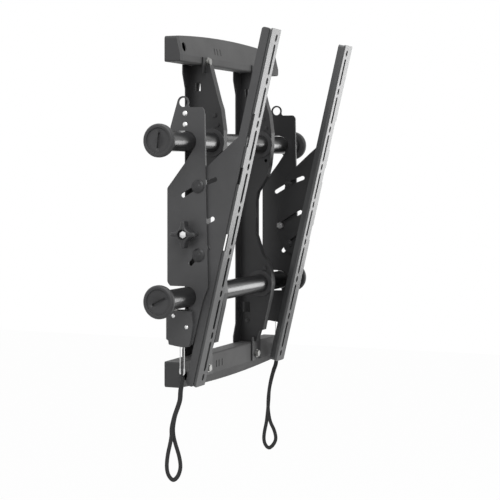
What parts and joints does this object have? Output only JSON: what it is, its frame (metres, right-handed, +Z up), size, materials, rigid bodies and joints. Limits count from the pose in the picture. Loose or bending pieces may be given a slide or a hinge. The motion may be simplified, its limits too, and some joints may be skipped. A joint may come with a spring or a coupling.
{
  "type": "tv wall mount",
  "caption": "Steel wall mount for a flat screen: a wall frame with two cross tubes and two sliding, tilting brackets with slotted display rails, locking knobs and pull-cord latches",
  "frame": {"origin": "middle of the four wall slots, on the wall face", "axes": "+Z up, +Y into the wall, screen side -Y, +X to the right seen from the screen side"},
  "size_m": [0.682, 0.2193, 0.8823],
  "materials": {
    "dark_steel": "satin dark grey powder coat",
    "grey_frame": "satin grey powder coat",
    "black_tube": "gloss black paint",
    "black_plastic": "matte black",
    "knob_plastic": "satin black",
    "bright_steel": "bright plated",
    "zinc_steel": "zinc plated",
    "pull_strap": "black woven"
  },
  "bodies": {
    "wall_frame": {"upper_wall_rail": "grey_frame", "lower_wall_rail": "grey_frame", "upper_left_end_cap": "black_plastic", "upper_right_end_cap": "black_plastic", "lower_left_end_cap": "black_plastic", "lower_right_end_cap": "black_plastic", "left_upright": "dark_steel", "right_upright": "dark_steel", "upper_tube": "black_tube", "lower_tube": "black_tube", "upper_left_bushing": "black_plastic", "upper_right_bushing": "black_plastic", "lower_left_bushing": "black_plastic", "lower_right_bushing": "black_plastic", "upper_left_tube_cap": "black_plastic", "upper_right_tube_cap": "black_plastic", "lower_left_tube_cap": "black_plastic", "lower_right_tube_cap": "black_plastic", "upright_screws": "zinc_steel", "lock_bolts": "zinc_steel", "lock_washers": "bright_steel"},
    "left_carrier": {"left_carrier": "dark_steel", "left_latch_cover": "dark_steel", "left_rivets": "bright_steel", "left_knob_nut": "bright_steel"},
    "left_latch": {"left_latch_pawl": "zinc_steel", "left_wire_loop": "bright_steel", "left_pull_cord": "pull_strap"},
    "left_knob": {"left_knob": "knob_plastic", "left_knob_bolt": "bright_steel"},
    "left_guides": {"left_upper_guide": "dark_steel", "left_lower_guide": "dark_steel"},
    "left_tilt": {"left_tilt_plate": "dark_steel", "left_display_rail": "dark_steel"},
    "right_carrier": {"right_carrier": "dark_steel", "right_latch_cover": "dark_steel", "right_rivets": "bright_steel", "right_knob_nut": "bright_steel"},
    "right_latch": {"right_latch_pawl": "zinc_steel", "right_wire_loop": "bright_steel", "right_pull_cord": "pull_strap"},
    "right_knob": {"right_knob": "knob_plastic", "right_knob_bolt": "bright_steel"},
    "right_guides": {"right_upper_guide": "dark_steel", "right_lower_guide": "dark_steel"},
    "right_tilt": {"right_tilt_plate": "dark_steel", "right_display_rail": "dark_steel"}
  },
  "joints": [
    {"name": "left_slide", "type": "slide", "parent": "wall_frame", "child": "left_carrier", "axis": [-1, 0, 0], "range_m": [-0.045, 0.095]},
    {"name": "left_tilt", "type": "hinge", "parent": "left_carrier", "child": "left_tilt", "pos_m": [-0.24, -0.2025, -0.229], "axis": [1, 0, 0], "range_deg": [-13.2, 0]},
    {"name": "left_guide_swing", "type": "hinge", "parent": "left_carrier", "child": "left_guides", "pos_m": [-0.24, -0.2025, -0.229], "axis": [1, 0, 0], "range_deg": [-6.6, 0]},
    {"name": "left_knob_turn", "type": "hinge", "parent": "left_carrier", "child": "left_knob", "pos_m": [-0.24, -0.0522, -0.0422], "axis": [1, 0, 0], "continuous": true},
    {"name": "left_latch_pull", "type": "slide", "parent": "left_carrier", "child": "left_latch", "axis": [0, 0, -1], "range_m": [0, 0.012], "stiffness_N_per_m": 600, "springref_m": -0.004},
    {"name": "right_slide", "type": "slide", "parent": "wall_frame", "child": "right_carrier", "axis": [1, 0, 0], "range_m": [-0.03, 0.055]},
    {"name": "right_tilt", "type": "hinge", "parent": "right_carrier", "child": "right_tilt", "pos_m": [0.212, -0.2025, -0.229], "axis": [1, 0, 0], "range_deg": [-13.2, 0]},
    {"name": "right_guide_swing", "type": "hinge", "parent": "right_carrier", "child": "right_guides", "pos_m": [0.212, -0.2025, -0.229], "axis": [1, 0, 0], "range_deg": [-6.6, 0]},
    {"name": "right_knob_turn", "type": "hinge", "parent": "right_carrier", "child": "right_knob", "pos_m": [0.212, -0.0522, -0.0422], "axis": [1, 0, 0], "continuous": true},
    {"name": "right_latch_pull", "type": "slide", "parent": "right_carrier", "child": "right_latch", "axis": [0, 0, -1], "range_m": [0, 0.012], "stiffness_N_per_m": 600, "springref_m": -0.004}
  ],
  "couplings": [
    {"joint": "left_guide_swing", "follows": "left_tilt", "ratio": 0.5},
    {"joint": "right_guide_swing", "follows": "right_tilt", "ratio": 0.5}
  ]
}
